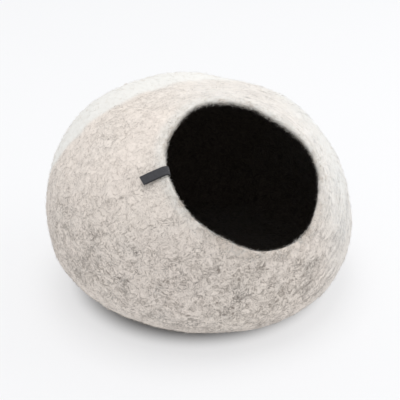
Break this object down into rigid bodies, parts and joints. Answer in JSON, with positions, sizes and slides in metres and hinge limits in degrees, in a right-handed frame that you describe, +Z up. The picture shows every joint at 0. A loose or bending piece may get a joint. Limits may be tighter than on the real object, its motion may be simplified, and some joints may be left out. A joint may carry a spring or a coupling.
{
  "type": "felt cat cave",
  "caption": "Hollow squashed ball of thick wool felt with a wide round doorway facing up and forward, a flat base, and a folded ribbon label on the rim.",
  "frame": {"origin": "under the middle of the flat base, on the surface that the cave stands on", "axes": "+Z up; -Y is the front, where the doorway opens forward and up; +X is the object's left hand side seen from inside looking out, at right for someone facing the doorway"},
  "size_m": [0.4573, 0.4407, 0.3035],
  "materials": {
    "felt_shell": "thick wet-felted wool, cream mottled with grey and brown fibres, fuzzy matte surface",
    "ribbon_label": "charcoal woven ribbon, slight satin sheen, blank"
  },
  "bodies": {
    "root": {"felt_shell": "felt_shell", "ribbon_label": "ribbon_label"}
  },
  "joints": []
}
